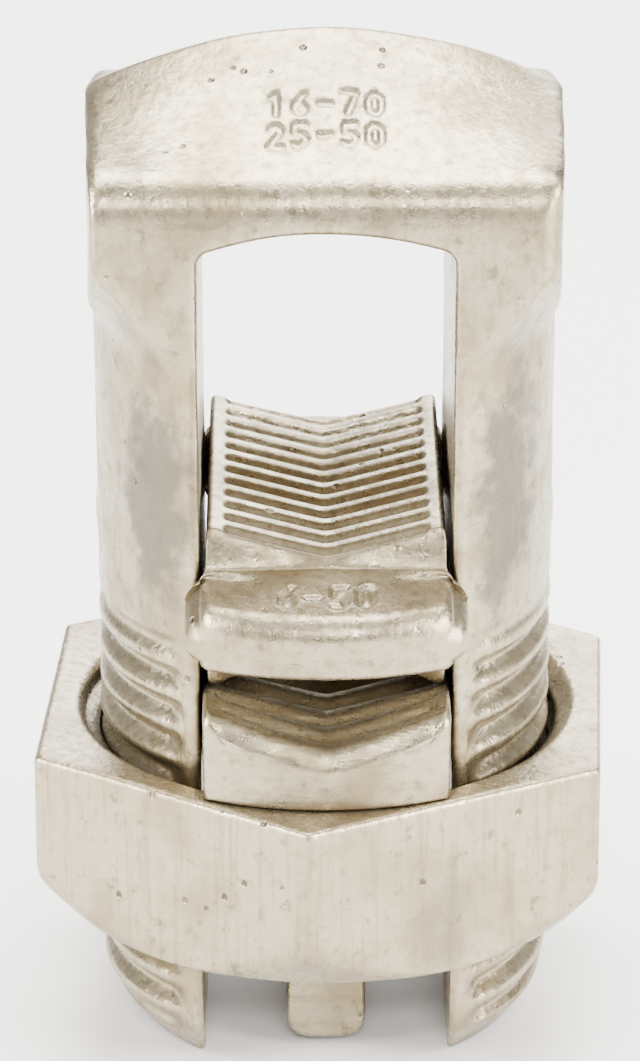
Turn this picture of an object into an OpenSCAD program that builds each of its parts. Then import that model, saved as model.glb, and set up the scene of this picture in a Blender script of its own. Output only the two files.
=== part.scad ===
// Split bolt connector: a slotted bolt, a hex nut, a pressure bar and a two-sided
// spacer.  A run conductor lies between the arch of the bolt and the spacer, a tap
// conductor between the spacer and the pressure bar, and the nut squeezes both.
// The legs stand on Z = 0, the conductors run along Y, and +Z points up.

/* [Bolt] */
// Major diameter of the thread on the two legs
bolt_d = 20.6; // [20.0:0.1:21.2]
// Width of the conductor slot between the legs
slot_w = 11.1; // [10.6:0.1:11.6]
// Height from the ends of the legs to the crest of the head
bolt_h = 47; // [45:0.5:52]
// Height of the slot at its two side walls
slot_h = 39.4; // [38.5:0.1:39.8]
// Rise of the arched slot roof above its side walls
arch_rise = 0.9; // [0.5:0.1:1.2]
// Length of the taper at the ends of the legs
leg_end_taper = 2; // [0.5:0.1:3]
// How far that taper goes in from the thread
leg_end_inset = 1.5; // [0.5:0.1:2]

/* [Head] */
// How far the head stands out past each leg
head_lip = 0.15; // [0.1:0.05:0.5]
// Radius of the gently bowed sides of the head
head_side_r = 90; // [60:5:200]
// Cut that makes each leg's inner edge flush with the face of the head
face_cut = 0.15; // [0.1:0.05:0.5]
// Rounding between the front of the head and its sloped face
brow_r = 2; // [1:0.1:2.5]
// Height of the middle of that rounding above the slot walls
brow_rise = 1.5; // [1.2:0.1:2.5]
// Radius of the arched crest, seen along the conductors
crest_r = 21.5; // [18:0.5:40]
// Length over which the corners of the head fade into the legs
shoulder_h = 5; // [3:0.5:8]

/* [Nut] */
// Wall of the nut at the middle of a flat
nut_wall = 2.35; // [2.0:0.05:3.5]
// Height of the nut
nut_h = 8.4; // [7:0.1:9.5]
// Height of the ends of the legs below the top of the nut
nut_top_z = 15; // [14:0.1:16.5]
// Turn of the nut about the bolt
nut_angle = -3.4; // [-30:0.1:30]
// Radial play between the nut and the thread crests
thread_play = 0.05; // [0.02:0.01:0.10]
// Radial depth of the countersunk mouth of the nut
mouth_depth = 1.1; // [0.5:0.1:1.4]
// Height of the bevel at the lower corners of the nut
nut_bevel_h = 2.3; // [1:0.1:3]

/* [Grooves] */
// Slope of the sides of each shallow conductor groove
groove_angle = 15; // [10:0.5:18]
// Distance between two gripping ridges on the spacer
ridge_pitch = 1.4; // [1.2:0.05:1.8]
// Distance between two gripping ridges on the pressure bar
bar_ridge_pitch = 1.7; // [1.4:0.05:2.2]
// Depth of the furrows between the ridges
ridge_depth = 0.3; // [0.15:0.05:0.4]
// Flat land left beside each groove
land_w = 0.4; // [0.2:0.1:0.8]

/* [Pressure bar] */
// Play between the pressure bar and each leg
bar_play = 0.1; // [0.05:0.05:0.3]
// Height of the pressure bar at its two lands
bar_h = 4.1; // [3.6:0.1:5]
// How far the rounded ends of the bar stop short of the spacer's ends
bar_inset = 0.1; // [0:0.05:0.5]
// Width of the tongue that hangs through the nut
tongue_w = 3.6; // [3:0.1:5]
// Length of the tongue along the conductors
tongue_l = 12.4; // [8:0.1:14]
// Height of the tongue's tip above the ends of the legs
tongue_tip_z = 0.3; // [0.2:0.1:3]
// Rounding of the lower edges of the tongue
tongue_r = 0.9; // [0.3:0.1:1.4]

/* [Spacer] */
// Play between the spacer and each leg
spacer_play = 0.3; // [0.1:0.05:0.5]
// Height of the spacer between its upper and lower lands
spacer_h = 7.6; // [7:0.1:8.5]
// Width of the smooth margin beside the ridges of the spacer
margin_w = 0.8; // [0.6:0.1:1.4]
// Play between the end flanges and the faces of the bolt
flange_play = 0.3; // [0.1:0.05:0.6]
// Overlap of each end flange behind a leg
flange_lap = 0.65; // [0.4:0.05:1.5]
// Thickness of an end flange at its middle
flange_t = 3.65; // [3:0.05:4.5]
// Height of the lower edge of a flange above the lower lands
flange_foot = 2.1; // [1.6:0.1:2.4]
// Height of the outer face of a flange
flange_face_h = 2.7; // [2.2:0.1:3]
// Slope of the upper face of a flange
flange_slope = 15; // [8:0.5:20]
// Rounding of the outer upper edge of a flange
flange_r = 0.9; // [0.3:0.1:1.2]
// Cut at the corners of a flange
flange_corner = 0.65; // [0.3:0.05:0.9]

/* [Hidden] */
$fn = 96;
eps = 0.01;
far = 100;

bolt_r = bolt_d / 2;
bore_r = bolt_r + thread_play;
nut_af = 2 * (bore_r + nut_wall);
nut_corner_r = nut_af / 2 / cos(30);
nut_bottom_z = nut_top_z - nut_h;

// The roof of the slot is an arc through both walls and the raised middle.
arch_r = (pow(slot_w / 2, 2) + pow(arch_rise, 2)) / (2 * arch_rise);
arch_centre_z = slot_h + arch_rise - arch_r;

leg_edge_y = sqrt(pow(bolt_r, 2) - pow(slot_w / 2, 2));
head_t = 2 * (leg_edge_y - face_cut);
head_half_w = bolt_r + head_lip;
head_w = 2 * head_half_w;
brow_z = slot_h + brow_rise;
brow_y = head_t / 2 - brow_r;
crest_centre_z = bolt_h - crest_r;
crown_steps = 16;
brow_steps = 8;
shoulder_z = slot_h - shoulder_h;
head_reach = norm([head_w / 2, head_t / 2]);

bar_w = slot_w - 2 * bar_play;
bar_top_z = nut_top_z + bar_h;
tongue_h = nut_top_z - tongue_tip_z;

spacer_w = slot_w - 2 * spacer_play;
spacer_z = bar_top_z;
spacer_top_z = spacer_z + spacer_h;
block_l = head_t + 2 * flange_play;
flange_end_r = block_l / 2 + flange_t;
bar_end_r = flange_end_r - bar_inset;
flange_w = slot_w + 2 * flange_lap;
flange_z = spacer_z + flange_foot;
flange_edge_z = flange_z + flange_face_h;
flange_rise = (flange_end_r - block_l / 2) * tan(flange_slope);

// A bar along Y with the given section drawn in the XZ plane.
module along_y(length) {
    rotate([90, 0, 0])
        linear_extrude(length, center = true)
            children();
}

// A turned solid about Z from a profile drawn as [radius, height].
module turned() {
    rotate_extrude()
        children();
}

// ---- Bolt ---------------------------------------------------------------

// Sides of the head seen from above: two wide arcs, bowed out at the middle.
module head_sides() {
    intersection_for(side = [-1, 1])
        translate([side * (head_side_r - head_half_w), 0])
            circle(head_side_r, $fn = 720);
}

// Height of the arched crest above one place across the head.
function crest_z(x) = crest_centre_z + sqrt(crest_r * crest_r - x * x);

// Slope of the sloped face there: the line from the crest that touches the brow.
function face_slope(x) =
    let (rise = crest_z(x) - brow_z, reach = norm([brow_y, rise]))
    atan2(rise, brow_y) - asin(brow_r / reach);

// Section of the crown along the conductors, as [y, z] points: up one rounded
// brow, over the crest and down the other brow.
function crown_section(x) =
    let (sweep = 90 - face_slope(x))
    let (brow = [for (i = [0 : brow_steps])
        let (a = 180 - sweep * i / brow_steps)
        [-brow_y + brow_r * cos(a), brow_z + brow_r * sin(a)]])
    concat(
        [[-head_t / 2, shoulder_z]],
        brow,
        [[0, crest_z(x)]],
        [for (i = [brow_steps : -1 : 0]) [-brow[i][0], brow[i][1]]],
        [[head_t / 2, shoulder_z]]
    );

// The crown is a loft of those sections from side to side, a little overlong.
module crown() {
    span = head_w + 1;
    xs = [for (i = [0 : crown_steps]) span * (i / crown_steps - 0.5)];
    rings = [for (x = xs) [for (p = crown_section(x)) [x, p[0], p[1]]]];
    n = len(rings[0]);
    m = len(rings);
    points = [for (ring = rings) each ring];
    walls = [for (j = [0 : m - 2], i = [0 : n - 1])
        let (k = (i + 1) % n, a = j * n, b = (j + 1) * n)
        each [[a + i, a + k, b + k], [a + i, b + k, b + i]]];
    first = [[for (i = [n - 1 : -1 : 0]) i]];
    last = [[for (i = [0 : n - 1]) (m - 1) * n + i]];
    polyhedron(points, concat(walls, first, last));
}

// Turned blank: a tapered tip, the round shank and a cone that widens under the
// head, so that the head's corners fade down into the legs.
module blank() {
    turned()
        polygon([
            [0, 0],
            [bolt_r - leg_end_inset, 0],
            [bolt_r, leg_end_taper],
            [bolt_r, shoulder_z],
            [head_reach, slot_h],
            [head_reach, bolt_h + 1],
            [0, bolt_h + 1]
        ]);
}

module legs() {
    intersection() {
        blank();
        translate([-far / 2, -head_t / 2, -1])
            cube([far, head_t, shoulder_z + 1]);
    }
}

module head() {
    intersection() {
        blank();
        crown();
        translate([0, 0, shoulder_z - 1])
            linear_extrude(bolt_h)
                head_sides();
    }
}

// Slot that splits the shank into two legs, with its arched roof.
module slot() {
    along_y(far)
        intersection() {
            translate([-slot_w / 2, -far])
                square([slot_w, 2 * far]);
            union() {
                translate([-far / 2, -eps])
                    square([far, arch_centre_z + arch_r / 2]);
                translate([0, arch_centre_z])
                    circle(arch_r, $fn = 192);
            }
        }
}

module bolt_body() {
    color([0.78, 0.75, 0.66])
        difference() {
            union() {
                legs();
                head();
            }
            slot();
        }
}

// ---- Nut ----------------------------------------------------------------

module nut() {
    color([0.74, 0.71, 0.62])
        rotate([0, 0, nut_angle])
            difference() {
                intersection() {
                    translate([0, 0, nut_bottom_z])
                        rotate([0, 0, 30])
                            cylinder(r = nut_corner_r, h = nut_h, $fn = 6);
                    // the lower corners are bevelled by a cone
                    turned()
                        polygon([
                            [0, nut_bottom_z - eps],
                            [nut_af / 2, nut_bottom_z - eps],
                            [nut_corner_r + eps, nut_bottom_z + nut_bevel_h],
                            [nut_corner_r + eps, nut_top_z + eps],
                            [0, nut_top_z + eps]
                        ]);
                }
                // threaded bore with a countersunk mouth
                turned()
                    polygon([
                        [0, nut_bottom_z - 1],
                        [bore_r, nut_bottom_z - 1],
                        [bore_r, nut_top_z - mouth_depth],
                        [bore_r + mouth_depth, nut_top_z],
                        [bore_r + mouth_depth, nut_top_z + 1],
                        [0, nut_top_z + 1]
                    ]);
            }
}

// ---- Gripping grooves ---------------------------------------------------

// Saw-tooth section of the furrows, drawn as [along the groove, height].
module furrow_section(pitch, count) {
    for (i = [0 : count - 1])
        translate([(i - (count - 1) / 2) * pitch, 0])
            polygon([
                [-0.32 * pitch, ridge_depth],
                [-0.32 * pitch, 0],
                [0, -ridge_depth],
                [0.32 * pitch, 0],
                [0.32 * pitch, ridge_depth]
            ]);
}

// A shallow V groove along Y, cut down from z = 0 at x = +-half_w, with its
// chevron furrows reaching out to x = +-ridge_w.
module grip_groove(half_w, ridge_w, length, pitch, count) {
    valley = half_w * tan(groove_angle);
    translate([0, 0, -valley]) {
        along_y(length)
            polygon([[0, 0], [half_w + eps, valley + eps * tan(groove_angle)],
                     [half_w, far], [-half_w, far],
                     [-half_w - eps, valley + eps * tan(groove_angle)]]);
        for (side = [0, 1])
            mirror([side, 0, 0])
                intersection() {
                    rotate([0, -groove_angle, 0])
                        translate([-far / 2, 0, 0])
                            rotate([90, 0, 90])
                                linear_extrude(far)
                                    furrow_section(pitch, count);
                    translate([0, -far / 2, -far / 2])
                        cube([ridge_w, far, far]);
                }
    }
}

// ---- Pressure bar -------------------------------------------------------

module tongue_section() {
    x = tongue_w / 2 - tongue_r;
    square_top = tongue_h - tongue_r;
    translate([-tongue_w / 2, -square_top])
        square([tongue_w, square_top + eps]);
    translate([-x, -tongue_h])
        square([2 * x, tongue_r + eps]);
    for (side = [-1, 1])
        translate([side * x, -square_top])
            circle(tongue_r);
}

module pressure_bar() {
    groove_half = bar_w / 2 - land_w;
    count = floor(2 * (bar_end_r - bar_ridge_pitch) / bar_ridge_pitch);
    color([0.80, 0.76, 0.66]) {
        difference() {
            intersection() {
                translate([-bar_w / 2, -bar_end_r, nut_top_z])
                    cube([bar_w, 2 * bar_end_r, bar_h]);
                cylinder(r = bar_end_r, h = far);
            }
            translate([0, 0, bar_top_z])
                grip_groove(groove_half, groove_half - land_w, far,
                            bar_ridge_pitch, count);
        }
        translate([0, 0, nut_top_z])
            along_y(tongue_l)
                tongue_section();
    }
}

// ---- Spacer -------------------------------------------------------------

// Section of an end flange across the legs.
module flange_section() {
    x = flange_w / 2;
    top = flange_edge_z + flange_rise;
    polygon([
        [-x + flange_corner, flange_z],
        [x - flange_corner, flange_z],
        [x, flange_z + flange_corner],
        [x, flange_edge_z - flange_corner],
        [x - flange_corner, top],
        [-x + flange_corner, top],
        [-x, flange_edge_z - flange_corner],
        [-x, flange_z + flange_corner]
    ]);
}

// Profile that rounds the outer face of both flanges about the bolt axis.
module flange_profile() {
    r = flange_end_r;
    square_top = flange_edge_z - flange_r;
    translate([0, flange_z])
        square([r, square_top - flange_z]);
    translate([0, flange_z])
        square([r - flange_r, far]);
    translate([r - flange_r, square_top])
        circle(flange_r);
}

// Sloped slab whose lower side is the upper face of one flange.
module flange_face_cut() {
    translate([0, -flange_end_r, flange_edge_z])
        rotate([flange_slope, 0, 0])
            translate([-far / 2, -far, 0])
                cube([far, 2 * far, far]);
}

module flanges() {
    intersection() {
        difference() {
            for (side = [0, 1])
                mirror([0, side, 0])
                    difference() {
                        translate([0, -(block_l / 2 + flange_end_r) / 2, 0])
                            along_y(flange_end_r - block_l / 2)
                                flange_section();
                        flange_face_cut();
                    }
        }
        turned()
            flange_profile();
    }
}

module spacer() {
    groove_half = spacer_w / 2 - land_w;
    ridge_half = spacer_w / 2 - margin_w;
    count = floor((block_l - ridge_pitch) / ridge_pitch);
    color([0.82, 0.78, 0.67]) {
        difference() {
            translate([-spacer_w / 2, -block_l / 2 - eps, spacer_z])
                cube([spacer_w, block_l + 2 * eps, spacer_h]);
            translate([0, 0, spacer_top_z])
                grip_groove(groove_half, ridge_half, far, ridge_pitch, count);
            translate([0, 0, spacer_z])
                mirror([0, 0, 1])
                    grip_groove(groove_half, ridge_half, far, ridge_pitch, count);
        }
        flanges();
    }
}

bolt_body();
nut();
pressure_bar();
spacer();
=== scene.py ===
"""Dresses the split bolt connector: four forged and tin-plated pieces on a pale floor.

Every length in the shape functions is in millimetres, and becomes metres when the
mesh is made.  The legs stand on Z = 0, the conductors run along Y.
"""
import math

import bpy
import numpy as np
from mathutils import Matrix, Vector


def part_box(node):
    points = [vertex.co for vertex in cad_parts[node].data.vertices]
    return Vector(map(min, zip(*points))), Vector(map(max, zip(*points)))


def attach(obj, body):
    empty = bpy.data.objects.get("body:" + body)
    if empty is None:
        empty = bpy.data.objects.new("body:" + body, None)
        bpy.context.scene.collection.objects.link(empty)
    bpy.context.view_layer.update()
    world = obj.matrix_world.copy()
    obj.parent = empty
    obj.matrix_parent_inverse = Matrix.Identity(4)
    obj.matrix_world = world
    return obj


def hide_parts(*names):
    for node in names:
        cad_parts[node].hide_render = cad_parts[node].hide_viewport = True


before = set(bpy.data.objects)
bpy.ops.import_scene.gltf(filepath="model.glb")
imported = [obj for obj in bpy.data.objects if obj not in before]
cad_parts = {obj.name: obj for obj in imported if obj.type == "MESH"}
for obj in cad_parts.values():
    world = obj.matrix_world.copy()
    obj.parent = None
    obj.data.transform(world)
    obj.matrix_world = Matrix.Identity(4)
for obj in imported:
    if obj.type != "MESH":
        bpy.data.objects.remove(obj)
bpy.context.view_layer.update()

bl_info = {
    "name": "Split bolt connector",
    "version": (1, 0, 0),
    "blender": (4, 5, 0),
    "location": "View3D > Sidebar > Connector",
    "description": "Builds the tin-plated pieces of a split bolt connector and its stage",
    "category": "Object",
}

MM = 0.001
FAR = 100.0


def cad_box(node):
    """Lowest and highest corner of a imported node, in millimetres."""
    low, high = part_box(node)
    return np.array(low) / MM, np.array(high) / MM


# ---- Sizes and colours -------------------------------------------------------


def length(name, words, value):
    """A length property whose default is given in millimetres."""
    return bpy.props.FloatProperty(
        name=name, description=words, default=value * MM, min=0.0,
        unit="LENGTH", precision=5)


def number(name, words, value):
    """A plain number property."""
    return bpy.props.FloatProperty(name=name, description=words, default=value)


def angle(name, words, value):
    """An angle property whose default is given in degrees."""
    return bpy.props.FloatProperty(
        name=name, description=words, default=math.radians(value), subtype="ANGLE")


def colour(name, words, value):
    return bpy.props.FloatVectorProperty(
        name=name, description=words, default=value, size=3, subtype="COLOR",
        min=0.0, max=1.0)


class BoltSizes(bpy.types.PropertyGroup):
    slot_w: length("Slot width", "Width of the slot between the legs", 11.1)
    slot_h: length("Slot height", "Height of the slot at its side walls", 39.4)
    arch_rise: length("Arch rise", "Rise of the slot roof at its middle", 0.9)
    face_cut: length("Face cut", "Cut at each leg's inner edge", 0.15)
    head_lip: length("Head lip", "How far the head stands past a leg", 0.15)
    side_r: length("Side radius", "Radius of the bowed sides of the head", 90.0)
    brow_r: length("Brow radius", "Rounding above the front of the head", 2.0)
    brow_rise: length("Brow rise", "Middle of that rounding above the slot walls", 1.5)
    crest_r: length("Crest radius", "Radius of the arched crest", 21.5)
    shoulder_h: length("Shoulder", "Height over which the head fades into the legs", 5.0)
    tip_inset: length("Tip inset", "How far the tips of the legs are tapered in", 1.5)
    tip_h: length("Tip height", "Length of the taper at the tips", 2.0)
    thread_top: length("Thread top", "Height at which the thread ends", 22.4)
    pitch: length("Pitch", "Distance from crest to crest of the thread", 1.5875)
    thread_depth: length("Thread depth", "Depth of the thread", 0.55)
    edge_r: length("Edge radius", "Rounding of the forged edges", 0.35)
    corner_left: length("Left corners", "Rounding of the left corners of the head", 0.35)
    corner_right: length("Right corners", "Rounding of the right corners of the head", 1.0)
    wave: length("Waviness", "Unevenness of the forged skin", 0.035)


class NutSizes(bpy.types.PropertyGroup):
    across: length("Across flats", "Distance between two opposite flats", 25.4)
    turn: angle("Turn", "Turn of the nut about the bolt", -3.4)
    play: length("Play", "Radial play on the thread crests", 0.05)
    mouth: length("Mouth", "Radial depth of the countersunk mouth", 1.1)
    bevel_h: length("Bevel", "Height of the bevel at the lower corners", 2.3)
    corner_r: length("Corner radius", "Rounding of the upright corners", 0.3)
    edge_r: length("Edge radius", "Rounding of the upper and lower edges", 0.35)


class BarSizes(bpy.types.PropertyGroup):
    end_r: length("End radius", "Radius of the rounded ends about the bolt", 12.4)
    slope: angle("Groove slope", "Slope of the sides of the groove", 15.0)
    land: length("Land", "Flat beside the groove", 0.4)
    pitch: length("Ridge pitch", "Distance between two ridges", 1.75)
    depth: length("Ridge depth", "Depth of the furrows", 0.35)
    nose_r: length("Nose radius", "Rounding of the upper front edge", 0.7)
    edge_r: length("Edge radius", "Rounding of the other edges", 0.25)
    tongue_w: length("Tongue width", "Width of the tongue", 3.6)
    tongue_l: length("Tongue length", "Length of the tongue along the conductors", 12.4)
    tongue_r: length("Tongue radius", "Rounding of the tongue's lower edges", 0.9)


class SpacerSizes(bpy.types.PropertyGroup):
    width: length("Block width", "Width of the block between the legs", 10.5)
    slope: angle("Groove slope", "Slope of the sides of each groove", 15.0)
    land: length("Land", "Flat beside each groove", 0.4)
    margin: length("Margin", "Smooth margin beside the ridges", 0.8)
    pitch: length("Ridge pitch", "Distance between two ridges", 1.4)
    depth: length("Ridge depth", "Depth of the furrows", 0.3)
    flange_t: length("Flange thickness", "Thickness of a flange at its middle", 3.65)
    flange_foot: length("Flange foot", "Lower edge of a flange above the lower lands", 2.1)
    flange_face: length("Flange face", "Height of the outer face of a flange", 2.7)
    flange_slope: angle("Flange slope", "Slope of the upper face of a flange", 15.0)
    flange_r: length("Flange radius", "Rounding of the outer upper edge", 0.9)
    flange_corner: length("Flange corner", "Cut at the corners of a flange", 0.65)


class PlateColours(bpy.types.PropertyGroup):
    tin: colour("Tin", "Clean tin plate", (0.40, 0.345, 0.235))
    warm: colour("Warm tin", "Yellowed tin plate", (0.23, 0.18, 0.10))
    # This dark brown colour is used for dirt in pits, and as painted shade in hollows and gaps.
    grime_and_shade: colour("Grime", "Dirt in pits and gaps", (0.05, 0.033, 0.016))
    # This grey colour marks random stains, and also paints shade and shadow at some spots.
    stain_and_shade: colour("Stain", "Grey stain on the legs", (0.11, 0.098, 0.075))


class StageSizes(bpy.types.PropertyGroup):
    distance: length("Distance", "Camera to the top of the nut", 231.284)
    elevation: angle("Elevation", "Height of the camera above the nut's top", 24.783)
    azimuth: angle("Azimuth", "Turn of the camera about the bolt", -0.474)
    roll: angle("Roll", "Roll of the camera", -0.069)
    aim_x: number("Aim across", "Aim point across the legs, in millimetres", -0.207)
    aim_z: number("Aim height", "Aim point above the nut's top, in millimetres", 8.143)
    lens: number("Lens", "Focal length on a 36 mm sensor, in millimetres", 170.22)


def sizes(group):
    """The properties of a group, with lengths in millimetres and angles in radians."""
    props = getattr(bpy.context.scene, group)
    plain = type("Sizes", (), {})()
    for key, rna in props.bl_rna.properties.items():
        if rna.type == "FLOAT" and not rna.is_array:
            unit = 1 / MM if rna.unit == "LENGTH" else 1.0
            setattr(plain, key, getattr(props, key) * unit)
    return plain


# ---- Arithmetic of surfaces ----------------------------------------------------


def smoothstep(low, high, value):
    """0 below low, 1 above high, and 3t^2 - 2t^3 between."""
    t = np.clip((value - low) / (high - low), 0.0, 1.0)
    return t * t * (3 - 2 * t)


def round_max(a, b, r):
    """The larger of two signed distances, its edge rounded to radius r:
    min(-r, max(a, b)) plus the length of (a + r, b + r) where these are positive."""
    u = np.maximum(a + r, 0.0)
    v = np.maximum(b + r, 0.0)
    return np.minimum(-r, np.maximum(a, b)) + np.hypot(u, v)


def quarter_drop(distance, r):
    """How far a quarter round of radius r falls at a distance from the edge."""
    t = np.clip(r - distance, 0.0, r)
    return r - np.sqrt(np.maximum(r * r - t * t, 0.0))


def forged_wave(x, y, z, seed, period):
    """Sum of eight sine waves in seeded directions, between about -1 and 1."""
    rng = np.random.default_rng(seed)
    total = 0.0
    for _ in range(8):
        way = rng.normal(size=3)
        way *= 2 * math.pi / (period * rng.uniform(0.6, 1.6) * np.linalg.norm(way))
        total = total + np.sin(way[0] * x + way[1] * y + way[2] * z + rng.uniform(0, 6.28))
    return total / 4


def rounded_loop(corners, radii, arc_steps, line_steps):
    """A closed polygon with every corner replaced by a parabola that touches both sides.

    corners is (rows, corners, 2).  Each corner's curve starts and ends at its radius
    from the corner, or at 0.45 of the shorter side where that is less.
    """
    before = np.roll(corners, 1, axis=1) - corners
    after = np.roll(corners, -1, axis=1) - corners
    len_before = np.linalg.norm(before, axis=2)
    len_after = np.linalg.norm(after, axis=2)
    reach = np.minimum(np.minimum(len_before, len_after) * 0.45, np.asarray(radii))
    start = corners + before / np.maximum(len_before, 1e-9)[..., None] * reach[..., None]
    end = corners + after / np.maximum(len_after, 1e-9)[..., None] * reach[..., None]
    parts = []
    t = np.linspace(0, 1, arc_steps)[None, :, None]
    for i in range(corners.shape[1]):
        a, b, c = (q[:, i][:, None, :] for q in (start, corners, end))
        parts.append((1 - t) ** 2 * a + 2 * t * (1 - t) * b + t * t * c)
        nxt = start[:, (i + 1) % corners.shape[1]][:, None, :]
        s = np.linspace(0, 1, line_steps[i] + 2)[None, 1:-1, None]
        parts.append(c + (nxt - c) * s)
    return np.concatenate(parts, axis=1)


# Strokes of the plain stamped numerals, in a box 0.6 wide and 1 high.
STROKES = {
    "0": [[(0.3, 1.0), (0.08, 0.8), (0.08, 0.2), (0.3, 0.0), (0.52, 0.2), (0.52, 0.8), (0.3, 1.0)]],
    "1": [[(0.15, 0.8), (0.33, 1.0), (0.33, 0.0)]],
    "2": [[(0.08, 0.8), (0.3, 1.0), (0.52, 0.78), (0.08, 0.0), (0.54, 0.0)]],
    "5": [[(0.5, 1.0), (0.12, 1.0), (0.1, 0.56), (0.35, 0.6), (0.52, 0.3), (0.3, 0.0), (0.06, 0.12)]],
    "6": [[(0.48, 0.95), (0.12, 0.5), (0.1, 0.2), (0.3, 0.0), (0.52, 0.22), (0.34, 0.5), (0.12, 0.36)]],
    "7": [[(0.06, 1.0), (0.54, 1.0), (0.22, 0.0)]],
    "-": [[(0.1, 0.48), (0.5, 0.48)]],
}


def stamp_depth(text, u, v, height, centre, stroke):
    """1 on the strokes of a row of numerals and 0 away from them.

    u runs along the row and v up the figures; the depth falls off linearly from the
    middle of a stroke to half its width, by the distance to the nearest segment.
    """
    advance = 0.86 * height
    left = centre[0] - advance * len(text) / 2 + 0.13 * height
    nearest = np.full(np.broadcast(u, v).shape, FAR)
    for k, letter in enumerate(text):
        for line in STROKES[letter]:
            pts = np.array(line) * height
            pts[:, 0] += left + k * advance
            pts[:, 1] += centre[1] - height / 2
            for (ax, ay), (bx, by) in zip(pts[:-1], pts[1:]):
                dx, dy = bx - ax, by - ay
                t = np.clip(((u - ax) * dx + (v - ay) * dy) / (dx * dx + dy * dy), 0, 1)
                nearest = np.minimum(nearest, np.hypot(u - ax - t * dx, v - ay - t * dy))
    return np.clip(1.5 * (1 - nearest / (stroke / 2)), 0, 1)


# ---- Meshes ------------------------------------------------------------------


def grid_faces(rows, columns, first=0):
    """Quads of a grid whose last column joins its first."""
    j, i = np.meshgrid(np.arange(rows - 1), np.arange(columns), indexing="ij")
    k = (i + 1) % columns
    quads = np.stack([j * columns + i, j * columns + k,
                      (j + 1) * columns + k, (j + 1) * columns + i], axis=-1)
    return quads.reshape(-1, 4) + first


def fan_faces(columns, first, pole, turn):
    """Triangles from a ring to its pole, wound one way or the other."""
    i = np.arange(columns)
    k = (i + 1) % columns
    tri = np.stack([first + i, first + k, np.full(columns, pole)], axis=-1)
    return tri[:, ::-1] if turn else tri


def capped_tube(rings):
    """Vertices and faces of a grid of rings, closed by a pole at each end."""
    rows, columns, _ = rings.shape
    points = rings.reshape(-1, 3)
    poles = np.stack([rings[0].mean(0), rings[-1].mean(0)])
    n = len(points)
    quads = grid_faces(rows, columns)
    tris = np.concatenate([fan_faces(columns, 0, n, True),
                           fan_faces(columns, (rows - 1) * columns, n + 1, False)])
    return np.concatenate([points, poles]), quads, tris


def volume(points, quads, tris):
    """Signed volume of a closed mesh: positive where its faces point outwards."""
    both = np.concatenate([quads[:, [0, 1, 2]], quads[:, [0, 2, 3]], tris])
    a, b, c = (points[both[:, i]] for i in range(3))
    return np.einsum("ij,ij->i", a, np.cross(b, c)).sum() / 6


def make_piece(name, shells, material, body, node):
    """One object from closed shells in millimetres, riding on its body for its node."""
    points, quads, tris, first = [], [], [], 0
    for p, q, t in shells:
        if volume(p, q, t) < 0:
            q, t = q[:, ::-1], t[:, ::-1]
        points.append(p)
        quads.append(q + first)
        tris.append(t + first)
        first += len(p)
    points, quads, tris = (np.concatenate(x) for x in (points, quads, tris))
    mesh = bpy.data.meshes.new(name)
    mesh.vertices.add(len(points))
    mesh.vertices.foreach_set("co", (points * MM).astype(np.float32).ravel())
    loops = np.concatenate([quads.ravel(), tris.ravel()])
    mesh.loops.add(len(loops))
    mesh.loops.foreach_set("vertex_index", loops.astype(np.int32))
    counts = np.concatenate([np.full(len(quads), 4), np.full(len(tris), 3)])
    mesh.polygons.add(len(counts))
    starts = np.concatenate([[0], np.cumsum(counts)[:-1]])
    mesh.polygons.foreach_set("loop_start", starts.astype(np.int32))
    mesh.polygons.foreach_set("use_smooth", np.ones(len(counts), bool))
    mesh.update(calc_edges=True)
    mesh.validate()
    mesh.materials.append(material)
    piece = bpy.data.objects.new(name, mesh)
    bpy.context.scene.collection.objects.link(piece)
    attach(piece, body)
    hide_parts(node)
    return piece


# ---- Bolt ---------------------------------------------------------------------


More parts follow.
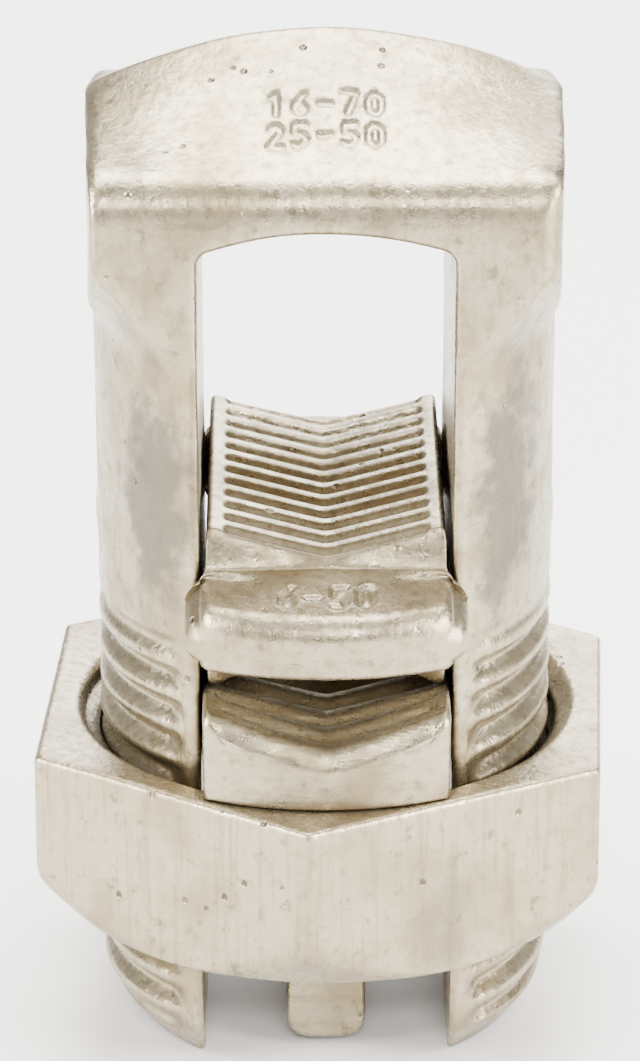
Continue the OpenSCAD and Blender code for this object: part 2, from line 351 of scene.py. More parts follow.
class BoltShape:
    """The forged bolt as a field that is negative inside the metal."""

    mark_rows = (("16-70", 4.35), ("25-50", 6.2))
    mark_h = 1.25
    mark_stroke = 0.42
    mark_depth = 0.16

    def __init__(self):
        s = sizes("bolt_sizes")
        self.s = s
        self.r = 10.3
        self.h = cad_box("bolt_body")[1][2]
        self.edge_y = math.sqrt(self.r ** 2 - (s.slot_w / 2) ** 2)
        self.face_y = self.edge_y - s.face_cut
        self.half_w = self.r + s.head_lip
        self.brow_z = s.slot_h + s.brow_rise
        self.brow_y = self.face_y - s.brow_r
        self.shoulder_z = s.slot_h - s.shoulder_h
        self.reach = math.hypot(self.half_w, self.face_y)
        self.arch_r = ((s.slot_w / 2) ** 2 + s.arch_rise ** 2) / (2 * s.arch_rise)
        self.arch_z = s.slot_h + s.arch_rise - self.arch_r

    def crest(self, x):
        """Height of the crest, an arc across the head."""
        r = self.s.crest_r
        return self.h - r + np.sqrt(np.maximum(r * r - x * x, 1.0))

    def crown(self, x, y):
        """Height of the head: a line from the crest that touches the rounded brow."""
        s = self.s
        rise = self.crest(x) - self.brow_z
        slope = np.arctan2(rise, self.brow_y) - np.arcsin(
            s.brow_r / np.hypot(self.brow_y, rise))
        touch = self.brow_y + s.brow_r * np.sin(slope)
        line = self.crest(x) - np.abs(y) * np.tan(slope)
        out = np.clip(np.abs(y) - self.brow_y, 0.0, s.brow_r)
        brow = self.brow_z + np.sqrt(np.maximum(s.brow_r ** 2 - out ** 2, 0.0))
        return np.where(np.abs(y) < touch, line, brow), slope

    def marks(self, x, y, slope):
        """Stamped numerals on the front slope, measured down from the crest."""
        along = np.where(y < 0, -y, FAR) / np.cos(slope)
        depth = 0.0
        for text, down in self.mark_rows:
            depth = np.maximum(depth, stamp_depth(
                text, x, -along, self.mark_h, (0.0, -down), self.mark_stroke))
        return depth * self.mark_depth

    def thread_groove(self, x, y, z):
        """Depth of the right-hand thread: a flat-topped wave of z / pitch - turn."""
        s = self.s
        phase = np.mod(z / s.pitch - np.arctan2(y, x) / (2 * math.pi), 1.0)
        wave = smoothstep(0.12, 0.82, np.abs(phase - 0.5) * 2)
        fade = 1 - smoothstep(s.thread_top - 2 * s.pitch, s.thread_top, z)
        strip = smoothstep(s.slot_w / 2 + 0.7, s.slot_w / 2 + 1.5, np.abs(x))
        return s.thread_depth * (1 - wave) * fade * strip

    def field(self, x, y, z, side, fine=True):
        """Negative inside: turned blank, side faces and crown, less the slot."""
        s = self.s
        flare = (self.reach - self.r) / s.shoulder_h
        radius = self.r + flare * np.maximum(z - self.shoulder_z, 0.0)
        radius = radius + 0.16 * np.exp(-((z - 24.6) / 0.7) ** 2 - (y / 2.6) ** 2)
        if fine:
            radius = radius - self.thread_groove(x, y, z)
        r = np.hypot(x, y)
        tilt = np.where(z > self.shoulder_z, 1 / math.hypot(1, flare), 1.0)
        blank = (r - radius) * tilt
        tip = (r - (self.r - s.tip_inset + z * s.tip_inset / s.tip_h)) * 0.8
        blank = round_max(blank, tip, 0.3)
        faces = np.abs(y) - self.face_y
        sides = np.abs(x) - (self.half_w - y * y / (2 * s.side_r))
        corner = np.where(x < 0, s.corner_left, s.corner_right)
        prism = round_max(faces, sides, corner)
        top, slope = self.crown(x, y)
        if fine:
            top = top - self.marks(x, y, slope)
        prism = round_max(prism, (z - top) * np.cos(slope), 0.2)
        metal = round_max(blank, prism, 0.25)
        roof = self.arch_z + np.sqrt(np.maximum(self.arch_r ** 2 - x * x, 0.0))
        void = -round_max(x * side - s.slot_w / 2, z - roof, 0.5)
        metal = round_max(metal, void, s.edge_r)
        metal = round_max(metal, -z, 0.25)
        if fine:
            metal = metal + s.wave * forged_wave(x, y, z, 5, 6.0)
        return metal

    def section_planes(self):
        """Pivot, outward direction and side of each section plane.

        The planes climb the left leg level, turn about the corner of the slot, cross
        the head upright, turn again and go down the right leg.
        """
        corner = np.array([5.0, self.s.slot_h - 0.4])
        tip = np.array([0.0, 0.02, 0.06, 0.12, 0.2, 0.3])
        leg = np.concatenate([
            tip, np.linspace(0.45, 23.0, 128), np.linspace(23.3, corner[1], 30)])
        turn = np.linspace(0, math.pi / 2, 26)[1:-1]
        across = np.linspace(-corner[0], corner[0], 92)
        lean_in, lean_up = 2.6, 3.6
        lean = lean_in + (lean_up - lean_in) * smoothstep(0, math.pi / 2, turn)
        left = [(-corner[0] - lean_in, z, -1.0, 0.0) for z in leg]
        left += [(-corner[0] - b * math.cos(a), corner[1] + b * math.sin(a),
                  -math.cos(a), math.sin(a)) for a, b in zip(turn, lean)]
        middle = [(x, corner[1] + lean_up, 0.0, 1.0) for x in across]
        right = [(-px, pz, -ex, ez) for px, pz, ex, ez in left[::-1]]
        planes = np.array(left + middle + right)
        middle_side = np.sign(across) + (across == 0)
        side = np.concatenate([-np.ones(len(left)), middle_side, np.ones(len(right))])
        return planes, side

    def cast(self, planes, side, angles, fine):
        """Distance along each ray from the pivot to the skin, by halving a bracket."""
        px, pz, ex, ez = (planes[:, i][:, None] for i in range(4))
        out, along = np.cos(angles), np.sin(angles)
        near = np.zeros(angles.shape)
        far = np.full(angles.shape, 16.0)
        for _ in range(26):
            t = (near + far) / 2
            f = self.field(px + t * out * ex, t * along, pz + t * out * ez, side[:, None], fine)
            near = np.where(f < 0, t, near)
            far = np.where(f < 0, far, t)
        t = (near + far) / 2
        return np.stack([px + t * out * ex, t * along, pz + t * out * ez], axis=-1)

    def surface(self, columns=202):
        """Rings of points on the skin, spread evenly round every section."""
        planes, side = self.section_planes()
        coarse = np.linspace(math.pi, 3 * math.pi, 361)
        angles = np.broadcast_to(coarse, (len(planes), len(coarse)))
        p = self.cast(planes, side, angles, False)
        step = np.linalg.norm(np.diff(p, axis=1), axis=2)
        middle = (p[:, 1:] + p[:, :-1]) / 2
        front = smoothstep(1.0, -1.0, middle[..., 1])
        turned = np.cos((coarse[1:] + coarse[:-1]) / 2)
        outer = 1 - smoothstep(0.0, 0.6, 0.6 - np.abs(turned + 1)[None])
        step = step * (1 + 0.7 * front) * (0.55 + 0.45 * outer)
        run = np.concatenate([np.zeros((len(planes), 1)), np.cumsum(step, axis=1)], axis=1)
        share = np.linspace(0, 1, columns + 1)[:-1]
        fine = np.stack([np.interp(share * r[-1], r, coarse) for r in run])
        rings = self.cast(planes, side, fine, True)
        first, last = rings[0], rings[-1]
        caps = [ring.mean(0) + (ring - ring.mean(0)) * 0.93 for ring in (first, last)]
        return np.concatenate([caps[0][None], rings, caps[1][None]])


# ---- Nut ----------------------------------------------------------------------


def nut_surface():
    """A closed profile carried round the bolt.

    Its outer radius is that of a hexagon with rounded corners,
    d cos(t) + sqrt(r^2 - d^2 sin(t)^2) at a corner and a / cos(t) on a flat; a cone
    bevels the lower corners, and the bore carries the thread as a wave of
    z / pitch - turn.
    """
    s = sizes("nut_sizes")
    b = sizes("bolt_sizes")
    low, high = cad_box("nut")
    apothem = s.across / 2
    columns, sixth = 420, math.pi / 6
    part = np.linspace(-1, 1, columns // 6 + 1)[:-1]
    part = np.sign(part) * (1 - (1 - np.abs(part)) ** 1.5)
    phi = np.tile(part * sixth, 6)
    theta = phi + np.repeat(np.arange(6) * 2 * sixth, columns // 6) + s.turn
    d = (apothem - s.corner_r) / math.cos(sixth)
    delta = sixth - np.abs(phi)
    touch = math.atan((apothem - s.corner_r) * math.tan(sixth) / apothem)
    inside = np.maximum(s.corner_r ** 2 - (d * np.sin(delta)) ** 2, 0.0)
    corner = d * np.cos(delta) + np.sqrt(inside)
    outer = np.where(np.abs(phi) < touch, apothem / np.cos(phi), corner)
    bore = 10.3 + s.play
    widest = apothem / math.cos(sixth)
    bevel = low[2] + (outer - apothem) / (widest - apothem) * s.bevel_h
    one = np.ones(columns)
    mouth = bore + s.mouth
    corners = np.stack([
        np.stack([mouth * one, high[2] * one], -1),
        np.stack([outer, high[2] * one], -1),
        np.stack([outer, bevel + 0.05], -1),
        np.stack([(apothem - 0.05) * one, low[2] * one], -1),
        np.stack([(bore + 0.6) * one, low[2] * one], -1),
        np.stack([bore * one, (low[2] + 0.6) * one], -1),
        np.stack([bore * one, (high[2] - s.mouth) * one], -1),
    ], axis=1)
    radii = [0.2, s.edge_r, 0.8, 0.35, 0.2, 0.2, 0.2]
    loop = rounded_loop(corners, radii, 6, [10, 14, 10, 8, 3, 46, 4])
    r, z = loop[..., 0], loop[..., 1]
    turn = theta[:, None]
    phase = np.mod(z / b.pitch - turn / (2 * math.pi), 1.0)
    groove = 1 - smoothstep(0.1, 0.8, np.abs(phase - 0.5) * 2)
    in_bore = 1 - smoothstep(bore + 0.15, bore + 0.9, r)
    r = r + 0.6 * groove * in_bore
    points = np.stack([r * np.cos(turn), r * np.sin(turn), z], -1)
    wave = 0.025 * forged_wave(points[..., 0], points[..., 1], points[..., 2], 9, 9.0)
    points[..., 2] -= np.where(z > high[2] - 0.5, np.abs(wave), 0.0)
    count, ring = r.shape
    quads = grid_faces(count + 1, ring) % (count * ring)
    return points.reshape(-1, 3), quads, np.zeros((0, 3), int)


# ---- Pressure bar and spacer -----------------------------------------------------


def edge_dense(count, low, high, power=1.6):
    """Values from low to high that crowd towards both ends."""
    t = np.linspace(-1, 1, count)
    t = np.sign(t) * (1 - (1 - np.abs(t)) ** power)
    return low + (t + 1) / 2 * (high - low)


def end_line(x, r):
    """Distance of a rounded end from the middle, r^2 = x^2 + y^2."""
    return np.sqrt(np.maximum(r * r - x * x, 1.0))


def furrows(y, pitch, phase, sharp):
    """1 in the middle of each furrow and 0 along the ridges."""
    return (0.5 + 0.5 * np.cos(2 * math.pi * (y / pitch + phase))) ** sharp


def close_ends(rings, end_r, flat_end=None):
    """Adds rings that shrink to the middle of each rounded or flat end."""
    caps = []
    for ring, way in ((rings[0], -1), (rings[-1], 1)):
        middle = ring.mean(0)
        cap = []
        for scale in (0.93, 0.75, 0.5, 0.25, 0.08):
            inner = middle + (ring - middle) * scale
            if flat_end is None:
                inner[:, 1] = way * end_line(inner[:, 0], end_r)
            cap.append(inner)
        caps.append(np.array(cap))
    return np.concatenate([caps[0][::-1], rings, caps[1]])


def section_ring(x_top, z_top, x_foot, z_foot, wall_x, wall_steps):
    """Joins a top line, right wall, bottom line and left wall into closed rings.

    x_top and z_top are (stations, count), from left to right; wall_x gives how far a
    wall bulges past the straight line between its ends, as a function of the share of
    the way down.
    """
    share = np.linspace(0, 1, wall_steps + 2)[1:-1][None]
    bulge = wall_x(share)

    def wall(column, way):
        xa, xb = x_top[:, column][:, None], x_foot[:, column][:, None]
        za, zb = z_top[:, column][:, None], z_foot[:, column][:, None]
        return xa + (xb - xa) * share + way * bulge, za + (zb - za) * share

    right, left = wall(-1, 1), wall(0, -1)
    x = np.concatenate([x_top, right[0], x_foot[:, ::-1], left[0][:, ::-1]], axis=1)
    z = np.concatenate([z_top, right[1], z_foot[:, ::-1], left[1][:, ::-1]], axis=1)
    return x, z


def bar_surface():
    """The bar: V-shaped top lines across, carried along Y between rounded ends."""
    s = sizes("bar_sizes")
    high = cad_box("pressure_bar")[1]
    foot, top = cad_box("nut")[1][2], high[2]
    half = high[0]
    groove = half - s.land
    nose = s.end_r - s.nose_r
    quarter = s.nose_r * np.sin(np.linspace(0, math.pi / 2, 9))
    y = np.concatenate([-(nose + quarter)[::-1], np.linspace(-nose, nose, 150)[1:-1], nose + quarter])
    across = edge_dense(61, -1, 1)
    inset = quarter_drop(s.end_r - np.abs(y), s.edge_r)[:, None]
    x = (half - inset) * across[None]
    v = np.sqrt(x * x + 0.15 ** 2) - 0.15
    tilt = math.tan(s.slope)
    z = np.minimum(top - groove * tilt + v * tilt, top)
    furrow = furrows(y[:, None], s.pitch, 0.10, 2.0)
    z = z - s.depth * furrow * (1 - smoothstep(groove - 0.5, groove, np.abs(x)))
    z = z - quarter_drop(half - np.abs(x), s.edge_r)
    z = z - quarter_drop(s.end_r - np.abs(y), s.nose_r)[:, None]
    zf = foot + quarter_drop(half - np.abs(x), 0.1) + quarter_drop(s.end_r - np.abs(y), 0.12)[:, None]
    rx, rz = section_ring(x, z, x, zf, lambda share: share * 0, 10)
    weight = smoothstep(7.5, s.end_r - 1.0, np.abs(y))[:, None]
    ry = y[:, None] - np.sign(y)[:, None] * weight * (s.end_r - end_line(rx, s.end_r))
    return capped_tube(close_ends(np.stack([rx, ry, rz], -1), s.end_r))


def tongue_surface():
    """The tongue: a rounded section carried along Y, with rounded flat ends."""
    s = sizes("bar_sizes")
    low = cad_box("pressure_bar")[0]
    foot = cad_box("nut")[1][2]
    half = s.tongue_l / 2
    quarter = 0.35 * np.sin(np.linspace(0, math.pi / 2, 6))
    y = np.concatenate([-(half - 0.35 + quarter)[::-1], half - 0.35 + quarter])
    inset = quarter_drop(half - np.abs(y), 0.35)
    w = s.tongue_w / 2 - inset
    bottom = low[2] + inset
    top = np.full(len(y), foot + 0.6)
    corners = np.stack([np.stack([-w, bottom], -1), np.stack([w, bottom], -1),
                        np.stack([w, top], -1), np.stack([-w, top], -1)], axis=1)
    loop = rounded_loop(corners, [1.3 * s.tongue_r, 1.3 * s.tongue_r, 0.05, 0.05], 9, [6, 20, 6, 20])
    rings = np.stack([loop[..., 0], np.broadcast_to(y[:, None], loop.shape[:2]), loop[..., 1]], -1)
    return capped_tube(close_ends(rings, s.tongue_l, flat_end=True))


def spacer_surface():
    """The spacer: V-shaped lines above and below, carried along Y between the flanges."""
    s = sizes("spacer_sizes")
    low, high = cad_box("spacer")
    half = s.width / 2
    end_r = high[1]
    flange_y = end_r - s.flange_t
    bottom, top = low[2], high[2]
    foot = bottom + s.flange_foot
    edge = foot + s.flange_face
    wide = high[0]
    nose = end_r - s.flange_r
    quarter = s.flange_r * np.sin(np.linspace(0, math.pi / 2, 12))
    block_end = flange_y - 0.9
    steps = [np.linspace(0, block_end, 92)[:-1], np.linspace(block_end, flange_y + 0.1, 26)[:-1],
             np.linspace(flange_y + 0.1, nose, 30)[:-1], nose + quarter]
    y = np.concatenate(steps)
    y = np.concatenate([-y[:0:-1], y])
    ay = np.abs(y)[:, None]
    flange = smoothstep(flange_y - 0.32, flange_y + 0.02, ay)
    across = edge_dense(121, -1, 1, 1.35)[None]
    inset = quarter_drop(end_r - ay, 0.5)
    top_half = half + (wide - s.flange_corner - half) * flange - inset
    x = top_half * across
    ax = np.abs(x)
    tilt = math.tan(s.slope)
    groove = half - s.land
    valley = top - groove * tilt
    v = np.minimum(valley + (np.sqrt(x * x + 0.2 ** 2) - 0.2) * tilt, top)
    field = 1 - smoothstep(half - s.margin - 0.15, half - s.margin + 0.15, ax)
    furrow = furrows(y[:, None], s.pitch, 0.5, 2.2) * field
    block_top = v - s.depth * furrow - quarter_drop(half - ax, 0.35)
    slope_top = edge + (end_r - ay) * math.tan(s.flange_slope)
    step = smoothstep(block_end, flange_y - 0.2, ay)
    z = block_top * (1 - step) + slope_top * step
    z = z - flange * quarter_drop(top_half - ax, 0.5)
    z = z - quarter_drop(end_r - ay, s.flange_r)
    mark = stamp_depth("6-50", x, y[:, None], 1.35, (0.0, -flange_y - 1.7), 0.42)
    z = z - 0.14 * mark
    foot_v = bottom + top - v
    z_foot = foot_v + s.depth * furrow + quarter_drop(half - ax, 0.3)
    z_foot = z_foot * (1 - step) + foot * step + flange * quarter_drop(top_half - ax, 0.35)
    z_foot = z_foot + quarter_drop(end_r - ay, 0.45)

    def bulge(share):
        ramp = np.clip(np.minimum(share, 1 - share) / 0.26, 0, 1)
        return s.flange_corner * np.sqrt(ramp) * flange

    rx, rz = section_ring(x, z, x, z_foot, bulge, 17)
    weight = smoothstep(flange_y - 0.2, flange_y + 1.2, ay)
    ry = y[:, None] - np.sign(y)[:, None] * weight * (end_r - end_line(rx, end_r))
    points = np.stack([rx, ry, rz], -1)
    wave = 0.02 * forged_wave(rx, ry, rz, 21, 4.0)
    points[..., 2] += wave * (flange > 0.5)
    return capped_tube(close_ends(points, end_r))


# ---- Materials -------------------------------------------------------------------


class Nodes:
    """Short ways to add and join the nodes of one material."""

    def __init__(self, name):
        self.material = bpy.data.materials.new(name)
        self.material.use_nodes = True
        self.tree = self.material.node_tree
        self.shader = next(n for n in self.tree.nodes if n.type == "BSDF_PRINCIPLED")
        self.place = self.add("ShaderNodeTexCoord").outputs["Object"]

    def add(self, kind, **values):
        node = self.tree.nodes.new(kind)
        for key, value in values.items():
            setattr(node, key, value)
        return node

    def put(self, socket, value):
        if isinstance(value, bpy.types.NodeSocket):
            self.tree.links.new(value, socket)
        else:
            socket.default_value = value

    def math(self, operation, a, b=0.0, clamp=False):
        node = self.add("ShaderNodeMath", operation=operation, use_clamp=clamp)
        self.put(node.inputs[0], a)
        self.put(node.inputs[1], b)
        return node.outputs[0]

    def stretched(self, scale):
        node = self.add("ShaderNodeMapping")
        self.put(node.inputs["Vector"], self.place)
        self.put(node.inputs["Scale"], scale)
        return node.outputs[0]

    def noise(self, size_mm, detail=4.0, rough=0.55, stretch=(1.0, 1.0, 1.0)):
        node = self.add("ShaderNodeTexNoise")
        self.put(node.inputs["Vector"], self.stretched(stretch))
        self.put(node.inputs["Scale"], 1.0 / (size_mm * MM))
        self.put(node.inputs["Detail"], detail)
        self.put(node.inputs["Roughness"], rough)
        return node.outputs["Fac"]

    def ramp(self, value, low, high, out_low=0.0, out_high=1.0):
        node = self.add("ShaderNodeMapRange", interpolation_type="SMOOTHSTEP")
        for key, v in (("Value", value), ("From Min", low), ("From Max", high),
                       ("To Min", out_low), ("To Max", out_high)):
            self.put(node.inputs[key], v)
        return node.outputs[0]

    def mix(self, factor, a, b):
        node = self.add("ShaderNodeMix", data_type="RGBA")
        self.put(node.inputs["Factor"], factor)
        self.put(node.inputs[6], a)
        self.put(node.inputs[7], b)
        return node.outputs[2]

    def spot(self, centre_mm, radius_mm, stretch=(1.0, 1.0, 1.0)):
        """1 at a point and 0 beyond a radius, with a ragged edge."""
        away = self.add("ShaderNodeVectorMath", operation="SUBTRACT")
        self.put(away.inputs[0], self.place)
        self.put(away.inputs[1], tuple(c * MM for c in centre_mm))
        size = self.add("ShaderNodeVectorMath", operation="MULTIPLY")
        self.put(size.inputs[0], away.outputs[0])
        self.put(size.inputs[1], tuple(k / (radius_mm * MM) for k in stretch))
        reach = self.add("ShaderNodeVectorMath", operation="LENGTH")
        self.put(reach.inputs[0], size.outputs[0])
        ragged = self.math("MULTIPLY", self.math("SUBTRACT", self.noise(1.6, 5.0), 0.5), 1.6)
        return self.ramp(self.math("ADD", reach.outputs["Value"], ragged), 1.0, 0.45)


def plated(name, streak, streak_size, spots, warm_share, seed_shift):
    """Tin plate: warm blotches, painted shade in hollows and gaps, brown dirt in pits, grey stains, painted
    shade at given spots, drawn lines.
    """
    colours = bpy.context.scene.plate_colours
    tin, warm, grime_and_shade, stain_and_shade = (tuple(getattr(colours, k)) + (1.0,)
                               for k in ("tin", "warm", "grime_and_shade", "stain_and_shade"))
    n = Nodes(name)
    cloud = n.noise(4.0 + seed_shift, 5.0)
    fine = n.noise(0.55, 6.0, 0.65)
    lines = n.noise(streak_size, 4.0, 0.6, streak)
    pit_field = n.add("ShaderNodeTexVoronoi", feature="F1")
    n.put(pit_field.inputs["Vector"], n.place)
    n.put(pit_field.inputs["Scale"], 1.0 / (1.3 * MM))
    scarce = n.ramp(n.noise(2.6 + seed_shift, 2.0), 0.52, 0.62)
    pits = n.math("MULTIPLY", n.ramp(pit_field.outputs["Distance"], 0.16, 0.06), scarce)
    # Painted shade: ambient occlusion finds hollows and gaps, which are then darkened in the colour.
    shade = n.add("ShaderNodeAmbientOcclusion", samples=8)
    n.put(shade.inputs["Distance"], 1.6 * MM)
    painted_hollow_shade = n.ramp(shade.outputs["AO"], 0.75, 0.25)
    paint = n.mix(n.ramp(cloud, 0.42, 0.66, 0.0, warm_share), tin, warm)
    paint = n.mix(n.ramp(lines, 0.46, 0.70, 0.0, 0.55), paint, warm)
    paint = n.mix(n.ramp(fine, 0.50, 0.72, 0.0, 0.60), paint, warm)
    speck = n.ramp(n.noise(1.1, 6.0, 0.7), 0.58, 0.70, 0.0, 0.55)
    paint = n.mix(speck, paint, stain_and_shade)
    # Spots darken towards the grey colour; some are stains, others painted shade, shadow or reflection.
    for centre, radius, stretch, share in spots:
        paint = n.mix(n.math("MULTIPLY", n.spot(centre, radius, stretch), share), paint, stain_and_shade)
    # Painted shade: hollows and gaps are darkened towards the dark brown colour.
    paint = n.mix(n.math("MULTIPLY", painted_hollow_shade, 0.75), paint, grime_and_shade)
    paint = n.mix(n.math("MULTIPLY", pits, 0.8), paint, grime_and_shade)
    n.put(n.shader.inputs["Base Color"], paint)
    n.put(n.shader.inputs["Metallic"], 0.9)
    rough = n.math("ADD", n.ramp(fine, 0.3, 0.7, 0.20, 0.38), n.ramp(cloud, 0.4, 0.7, 0.0, 0.08))
    n.put(n.shader.inputs["Roughness"], rough)
    height = n.math("ADD", n.math("MULTIPLY", fine, 0.45), n.math("MULTIPLY", lines, 0.55))
    height = n.math("SUBTRACT", height, n.math("MULTIPLY", pits, 0.9))
    bump = n.add("ShaderNodeBump")
    n.put(bump.inputs["Strength"], 0.9)
    n.put(bump.inputs["Distance"], 0.10 * MM)
    n.put(bump.inputs["Height"], height)
    n.put(n.shader.inputs["Normal"], bump.outputs[0])
    return n.material


# ---- Pieces ----------------------------------------------------------------------


class BuildBolt(bpy.types.Operator):
    """Builds the split bolt with its head, legs and thread"""
    bl_idname = "connector.build_bolt"
    bl_label = "Split bolt"

    def execute(self, context):
        # Spots darkened towards the grey colour: the first two are painted shadow under the front corners of
        # the head, the two tall ones darken the front of each leg, and the last is painted shade on the
        # upper middle of the head's front slope.
        spots = [((-8.2, -6.5, 42.0), 1.8, (1, 1, 1), 0.7), ((9.6, -7.0, 42.3), 1.0, (1, 1, 1), 0.8),
                 ((-7.8, -7.2, 27.5), 2.9, (1, 1, 0.42), 0.85), ((8.0, -6.5, 28.0), 2.9, (1, 1, 0.42), 0.85),
                 ((0.0, -3.0, 46.2), 3.5, (0.6, 1, 1), 0.25)]
        metal = plated("Bolt tin plate", (1.0, 1.0, 0.35), 0.5, spots, 0.75, 0.0)
        make_piece("Split_bolt", [capped_tube(BoltShape().surface())], metal,
                   "bolt", "bolt_body")
        return {"FINISHED"}


class BuildNut(bpy.types.Operator):
    """Builds the hexagon nut"""
    bl_idname = "connector.build_nut"
    bl_label = "Nut"

    def execute(self, context):
        spots = [((-2.3, -12.7, 12.6), 0.45, (1, 1, 1), 1.0), ((5.5, -12.5, 9.0), 2.2, (1, 1, 0.5), 0.35)]
        metal = plated("Nut tin plate", (1.0, 1.0, 0.05), 0.35, spots, 0.6, 0.7)
        make_piece("Nut", [nut_surface()], metal, "nut", "nut")
        return {"FINISHED"}


class BuildBar(bpy.types.Operator):
    """Builds the pressure bar with the tongue below it"""
    bl_idname = "connector.build_bar"
    bl_label = "Pressure bar"

    def execute(self, context):
        metal = plated("Bar tin plate", (0.08, 1.0, 1.0), 0.4, [], 0.9, 1.3)
        make_piece("Pressure_bar", [bar_surface(), tongue_surface()], metal,
                   "bar", "pressure_bar")
        return {"FINISHED"}


class BuildSpacer(bpy.types.Operator):
    """Builds the ridged spacer with its two flanges"""
    bl_idname = "connector.build_spacer"
    bl_label = "Spacer"

    def execute(self, context):
        # The spot is a painted dark reflection of the head's underside, darkening the rear of the spacer.
        metal = plated("Spacer tin plate", (1.0, 1.0, 1.0), 0.6, [((0, 6.0, 25.5), 6.0, (1, 1, 1), 0.3)],
                       0.8, 0.4)
        make_piece("Spacer", [spacer_surface()], metal, "spacer", "spacer")
        return {"FINISHED"}


# ---- Stage -----------------------------------------------------------------------


def plain_material(name, shade, rough):
    """An even grey material of one roughness."""
    n = Nodes(name)
    n.put(n.shader.inputs["Base Color"], (shade, shade, shade, 1.0))
    n.put(n.shader.inputs["Roughness"], rough)
    return n.material


def area_light(name, place, aim, width, height, power, tint):
    """A rectangular soft light at a place in millimetres, turned to its aim."""
    data = bpy.data.lights.new(name, "AREA")
    data.shape = "RECTANGLE"
    data.size, data.size_y = width * MM, height * MM
    data.energy = power
    data.color = tint
    lamp = bpy.data.objects.new(name, data)
    bpy.context.scene.collection.objects.link(lamp)
    lamp.location = Vector(place) * MM
    lamp.rotation_euler = (Vector(aim) * MM - lamp.location).to_track_quat("-Z", "Y").to_euler()
    return lamp


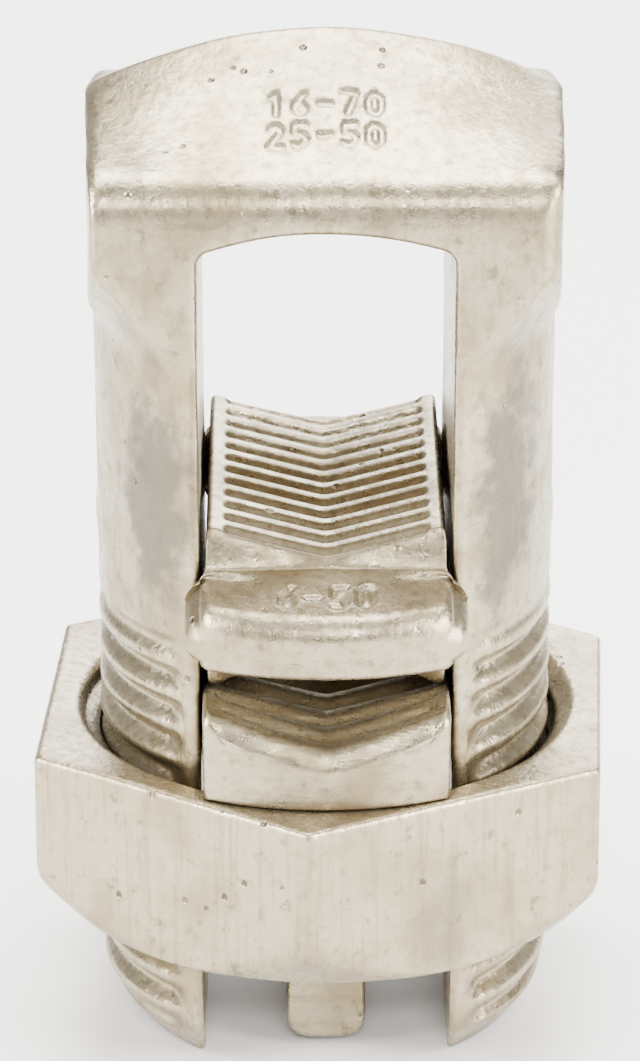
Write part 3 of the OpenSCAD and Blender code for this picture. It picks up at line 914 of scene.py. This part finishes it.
class BuildStage(bpy.types.Operator):
    """Sets up the camera, the floor, the backdrop and the soft lights"""
    bl_idname = "connector.build_stage"
    bl_label = "Stage"

    def execute(self, context):
        scene = context.scene
        s = sizes("stage_sizes")
        nut_top = cad_box("nut")[1][2]
        data = bpy.data.cameras.new("Camera")
        data.lens, data.sensor_width = s.lens, 36.0
        data.dof.use_dof = False
        data.clip_start = 0.005
        camera = bpy.data.objects.new("Camera", data)
        scene.collection.objects.link(camera)
        scene.camera = camera
        flat = s.distance * math.cos(s.elevation)
        spot = Vector((flat * math.sin(s.azimuth), -flat * math.cos(s.azimuth),
                       nut_top + s.distance * math.sin(s.elevation)))
        aim = Vector((s.aim_x, 0.0, nut_top + s.aim_z))
        turn = (aim - spot).to_track_quat("-Z", "Y").to_matrix().to_4x4()
        camera.matrix_world = (Matrix.Translation(spot * MM) @ turn
                               @ Matrix.Rotation(s.roll, 4, "Z"))

        radius, steps = 0.5, 24
        bend = np.linspace(0, math.pi / 2, steps)
        line = [(-1.2, 0.0)] + [(0.5 + radius * math.sin(a), radius - radius * math.cos(a))
                                for a in bend] + [(0.5 + radius, 1.8)]
        points = [(side, y, z) for y, z in line for side in (-1.6, 1.6)]
        faces = [(2 * k, 2 * k + 1, 2 * k + 3, 2 * k + 2) for k in range(len(line) - 1)]
        mesh = bpy.data.meshes.new("Floor and backdrop")
        mesh.from_pydata(points, [], faces)
        mesh.materials.append(plain_material("Pale paper", 0.88, 0.6))
        mesh.polygons.foreach_set("use_smooth", [True] * len(faces))
        floor = bpy.data.objects.new("Floor and backdrop", mesh)
        floor.location.z = -0.0002
        scene.collection.objects.link(floor)

        middle = (0, 0, 22)
        area_light("Top light", (0, 60, 330), middle, 260, 200, 3.4, (1.0, 0.985, 0.95))
        area_light("Left light", (-260, -120, 130), middle, 110, 200, 2.2, (1.0, 0.97, 0.93))
        area_light("Right light", (260, -140, 120), middle, 110, 200, 2.8, (1.0, 0.98, 0.95))
        area_light("Front light", (20, -330, 230), middle, 120, 40, 1.0, (1.0, 0.98, 0.95))
        area_light("Back light", (60, 300, 160), middle, 260, 200, 1.6, (1.0, 1.0, 1.0))
        world = bpy.data.worlds.new("Soft room")
        scene.world = world
        world.use_nodes = True
        tree = world.node_tree
        back = tree.nodes["Background"]
        way = tree.nodes.new("ShaderNodeTexCoord")
        parts = tree.nodes.new("ShaderNodeSeparateXYZ")
        ramp = tree.nodes.new("ShaderNodeValToRGB")
        tree.links.new(way.outputs["Generated"], parts.inputs[0])
        tree.links.new(parts.outputs["Z"], ramp.inputs[0])
        tree.links.new(ramp.outputs[0], back.inputs["Color"])
        ramp.color_ramp.elements[0].position = 0.12
        ramp.color_ramp.elements[0].color = (0.05, 0.036, 0.022, 1.0)
        ramp.color_ramp.elements[1].position = 0.62
        ramp.color_ramp.elements[1].color = (1.0, 0.98, 0.94, 1.0)
        back.inputs["Strength"].default_value = 0.85
        return {"FINISHED"}


# ---- Panel, registration and run ---------------------------------------------------

PIECES = (BuildBolt, BuildNut, BuildBar, BuildSpacer)
GROUPS = {"bolt_sizes": BoltSizes, "nut_sizes": NutSizes, "bar_sizes": BarSizes,
          "spacer_sizes": SpacerSizes, "plate_colours": PlateColours, "stage_sizes": StageSizes}


class ConnectorPanel(bpy.types.Panel):
    """Lists the sizes and the pieces of the connector"""
    bl_idname = "VIEW3D_PT_connector"
    bl_label = "Split bolt connector"
    bl_space_type = "VIEW_3D"
    bl_region_type = "UI"
    bl_category = "Connector"

    def draw(self, context):
        layout = self.layout
        layout.operator(BuildStage.bl_idname)
        for operator in PIECES:
            layout.operator(operator.bl_idname)
        for group in GROUPS:
            box = layout.box()
            box.label(text=group.replace("_", " ").capitalize())
            props = getattr(context.scene, group)
            for key in type(props).__annotations__:
                box.prop(props, key)


CLASSES = tuple(GROUPS.values()) + PIECES + (BuildStage, ConnectorPanel)


def register():
    for cls in CLASSES:
        bpy.utils.register_class(cls)
    for name, group in GROUPS.items():
        setattr(bpy.types.Scene, name, bpy.props.PointerProperty(type=group))


def unregister():
    for name in GROUPS:
        delattr(bpy.types.Scene, name)
    for cls in reversed(CLASSES):
        bpy.utils.unregister_class(cls)


def main():
    register()
    bpy.ops.connector.build_stage()
    bpy.ops.connector.build_bolt()
    bpy.ops.connector.build_nut()
    bpy.ops.connector.build_bar()
    bpy.ops.connector.build_spacer()


if __name__ == "__main__":
    main()
